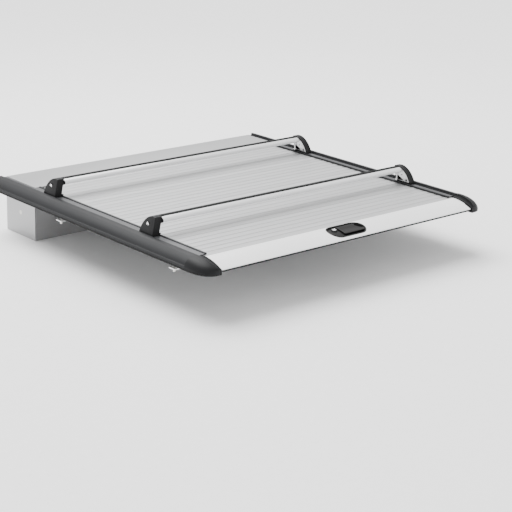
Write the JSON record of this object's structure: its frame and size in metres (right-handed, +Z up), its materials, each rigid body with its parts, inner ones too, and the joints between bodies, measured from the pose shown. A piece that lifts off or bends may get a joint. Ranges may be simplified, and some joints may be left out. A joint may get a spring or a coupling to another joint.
{
  "type": "roll-up tonneau cover",
  "caption": "Roll-up slatted aluminium pickup bed cover with side rails, end caps, coil box, flush latch handle and two crossbars on sliding feet.",
  "frame": {"origin": "on the canister's bulkhead face, in the middle of the bed, at the height where the rails rest on the bed sides", "axes": "+Z up, +Y toward the cab, +X toward the bed's right side"},
  "size_m": [1.66, 1.571, 0.3362],
  "materials": {
    "slat_aluminium": "satin anodised",
    "lead_slat_aluminium": "satin anodised",
    "rail_powder_coat": "satin black powder coat",
    "black_plastic": "fine grain",
    "black_rubber": "matt",
    "bare_aluminium": "satin",
    "canister_sheet": "mill",
    "zinc_steel": "zinc plated"
  },
  "bodies": {
    "frame": {"left_rail": "rail_powder_coat", "right_rail": "rail_powder_coat", "left_bed_seal": "black_rubber", "right_bed_seal": "black_rubber", "left_end_cap": "black_plastic", "right_end_cap": "black_plastic", "canister_housing": "canister_sheet", "canister_lid": "slat_aluminium", "canister_left_plate": "canister_sheet", "canister_right_plate": "canister_sheet", "drum_shaft": "zinc_steel", "drum_spring": "zinc_steel", "rear_left_clamp": "bare_aluminium", "rear_left_clamp_screw": "zinc_steel", "rear_right_clamp": "bare_aluminium", "rear_right_clamp_screw": "zinc_steel", "front_left_clamp": "bare_aluminium", "front_left_clamp_screw": "zinc_steel", "front_right_clamp": "bare_aluminium", "front_right_clamp_screw": "zinc_steel", "slats_01_to_03": "slat_aluminium", "slats_04_to_06": "slat_aluminium", "slats_07_to_09": "slat_aluminium", "slats_10_to_12": "slat_aluminium", "slats_13_to_15": "slat_aluminium", "slats_16_to_18": "slat_aluminium", "slats_19_to_21": "slat_aluminium", "slats_22_to_24": "slat_aluminium", "slats_25_to_27": "slat_aluminium", "slats_28_to_30": "slat_aluminium", "slats_going_down": "slat_aluminium"},
    "lead": {"lead_slat": "lead_slat_aluminium", "tailgate_seal": "black_rubber", "handle_housing": "black_plastic", "lever_pin": "zinc_steel"},
    "lever": {"handle_lever": "black_plastic"},
    "lock": {"lock_cylinder": "bare_aluminium"},
    "rocker": {"latch_rocker": "zinc_steel"},
    "rod_left": {"left_latch_rod": "zinc_steel"},
    "rod_right": {"right_latch_rod": "zinc_steel"},
    "drum": {"drum_tube": "bare_aluminium", "drum_left_bearing": "black_plastic", "drum_right_bearing": "black_plastic", "wound_curtain": "slat_aluminium"},
    "bar_rear": {"rear_bar": "bare_aluminium", "rear_bar_strip": "black_rubber", "rear_bar_left_cover": "black_plastic", "rear_bar_left_bracket": "bare_aluminium", "rear_bar_left_lock": "bare_aluminium", "rear_bar_right_cover": "black_plastic", "rear_bar_right_bracket": "bare_aluminium", "rear_bar_right_lock": "bare_aluminium"},
    "bar_front": {"front_bar": "bare_aluminium", "front_bar_strip": "black_rubber", "front_bar_left_cover": "black_plastic", "front_bar_left_bracket": "bare_aluminium", "front_bar_left_lock": "bare_aluminium", "front_bar_right_cover": "black_plastic", "front_bar_right_bracket": "bare_aluminium", "front_bar_right_lock": "bare_aluminium"}
  },
  "joints": [
    {"name": "lid_slide", "type": "slide", "parent": "frame", "child": "lead", "axis": [0, 1, 0], "range_m": [0, 1.2], "deforming": ["slats_01_to_03", "slats_04_to_06", "slats_07_to_09", "slats_10_to_12", "slats_13_to_15", "slats_16_to_18", "slats_19_to_21", "slats_22_to_24", "slats_25_to_27", "slats_28_to_30", "slats_going_down"]},
    {"name": "drum_turn", "type": "hinge", "parent": "frame", "child": "drum", "pos_m": [0, -0.12, -0.095], "axis": [-1, 0, 0], "range_deg": [0, 920], "deforming": ["drum_spring"]},
    {"name": "lever_lift", "type": "hinge", "parent": "lead", "child": "lever", "pos_m": [0, -1.4705, 0.0385], "axis": [-1, 0, 0], "range_deg": [0, 30], "stiffness_Nm_per_rad": 0.6, "springref_deg": -17.19},
    {"name": "lock_turn", "type": "hinge", "parent": "lead", "child": "lock", "pos_m": [-0.053, -1.4865, 0.03], "axis": [0, 0, 1], "range_deg": [0, 90]},
    {"name": "rocker_turn", "type": "hinge", "parent": "lead", "child": "rocker", "pos_m": [0, -1.4975, 0.015], "axis": [0, 0, -1], "range_deg": [0, 32]},
    {"name": "left_rod_draw", "type": "slide", "parent": "lead", "child": "rod_left", "axis": [1, 0, 0], "range_m": [0, 0.0085]},
    {"name": "right_rod_draw", "type": "slide", "parent": "lead", "child": "rod_right", "axis": [-1, 0, 0], "range_m": [0, 0.0085]},
    {"name": "rear_bar_slide", "type": "slide", "parent": "frame", "child": "bar_rear", "axis": [0, 1, 0], "range_m": [-0.19, 0.2]},
    {"name": "front_bar_slide", "type": "slide", "parent": "frame", "child": "bar_front", "axis": [0, 1, 0], "range_m": [-0.25, 0.08]}
  ],
  "couplings": [
    {"joint": "drum_turn", "follows": "lid_slide", "rad_per_m": 13.333},
    {"joint": "rocker_turn", "follows": "lever_lift", "ratio": 1.0667},
    {"joint": "left_rod_draw", "follows": "lever_lift", "m_per_rad": 0.016233},
    {"joint": "right_rod_draw", "follows": "lever_lift", "m_per_rad": 0.016233}
  ]
}
